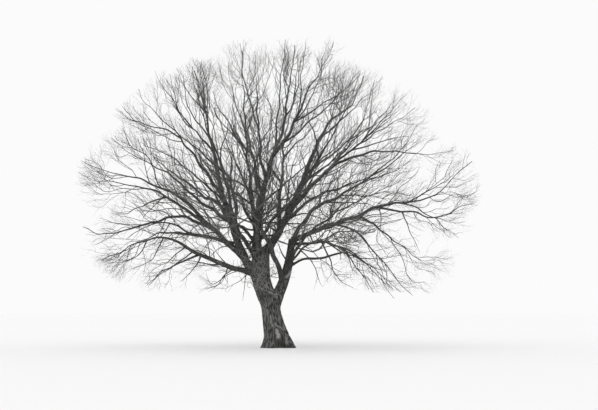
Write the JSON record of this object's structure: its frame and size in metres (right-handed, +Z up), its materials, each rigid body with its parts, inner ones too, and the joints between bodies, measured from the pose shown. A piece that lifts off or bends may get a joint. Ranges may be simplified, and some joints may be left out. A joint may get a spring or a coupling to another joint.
{
  "type": "bare winter tree",
  "caption": "Broad open-grown deciduous tree, leafless in winter: a short trunk with a hollow foot forks low under a wide domed crown of ascending boughs and fine twigs.",
  "frame": {"origin": "in the flat cut under the trunk, at ground level", "axes": "+Z up, +X to the right and -Y towards the viewer in the picture's view"},
  "size_m": [18.4016, 17.1666, 14.0285],
  "materials": {
    "trunk_bark": "rough fissured grey bark",
    "bough_bark": "rough grey bark, finer than the trunk's",
    "twigs": "matt grey twig bark"
  },
  "bodies": {
    "root": {"trunk": "trunk_bark", "west_stem": "trunk_bark", "east_stem": "trunk_bark", "west_limb": "bough_bark", "west_low_limb": "bough_bark", "west_mid_limb": "bough_bark", "west_fork_limb": "bough_bark", "west_back_low_limb": "bough_bark", "northwest_limb": "bough_bark", "west_high_limb": "bough_bark", "west_back_limb": "bough_bark", "northwest_fork_limb": "bough_bark", "leader": "bough_bark", "front_west_limb": "bough_bark", "front_high_limb": "bough_bark", "back_high_limb": "bough_bark", "leader_west_fork": "bough_bark", "leader_east_fork": "bough_bark", "east_high_limb": "bough_bark", "back_center_limb": "bough_bark", "front_east_limb": "bough_bark", "east_rising_limb": "bough_bark", "east_level_limb": "bough_bark", "back_east_limb": "bough_bark", "east_limb": "bough_bark", "east_low_limb": "bough_bark", "east_drooping_limb": "bough_bark", "east_upper_limb": "bough_bark", "inner_front_limb": "bough_bark", "dead_limb": "bough_bark", "west_twigs": "twigs", "west_low_twigs": "twigs", "west_mid_twigs": "twigs", "west_fork_twigs": "twigs", "west_back_low_twigs": "twigs", "northwest_twigs": "twigs", "west_high_twigs": "twigs", "west_back_twigs": "twigs", "northwest_fork_twigs": "twigs", "leader_twigs": "twigs", "front_west_twigs": "twigs", "front_high_twigs": "twigs", "back_high_twigs": "twigs", "leader_west_fork_twigs": "twigs", "leader_east_fork_twigs": "twigs", "east_high_twigs": "twigs", "back_center_twigs": "twigs", "front_east_twigs": "twigs", "east_rising_twigs": "twigs", "east_level_twigs": "twigs", "back_east_twigs": "twigs", "east_twigs": "twigs", "east_low_twigs": "twigs", "east_drooping_twigs": "twigs", "east_upper_twigs": "twigs", "inner_front_twigs": "twigs", "front_low_twigs": "twigs", "back_low_twigs": "twigs", "front_east_low_twigs": "twigs"}
  },
  "joints": []
}
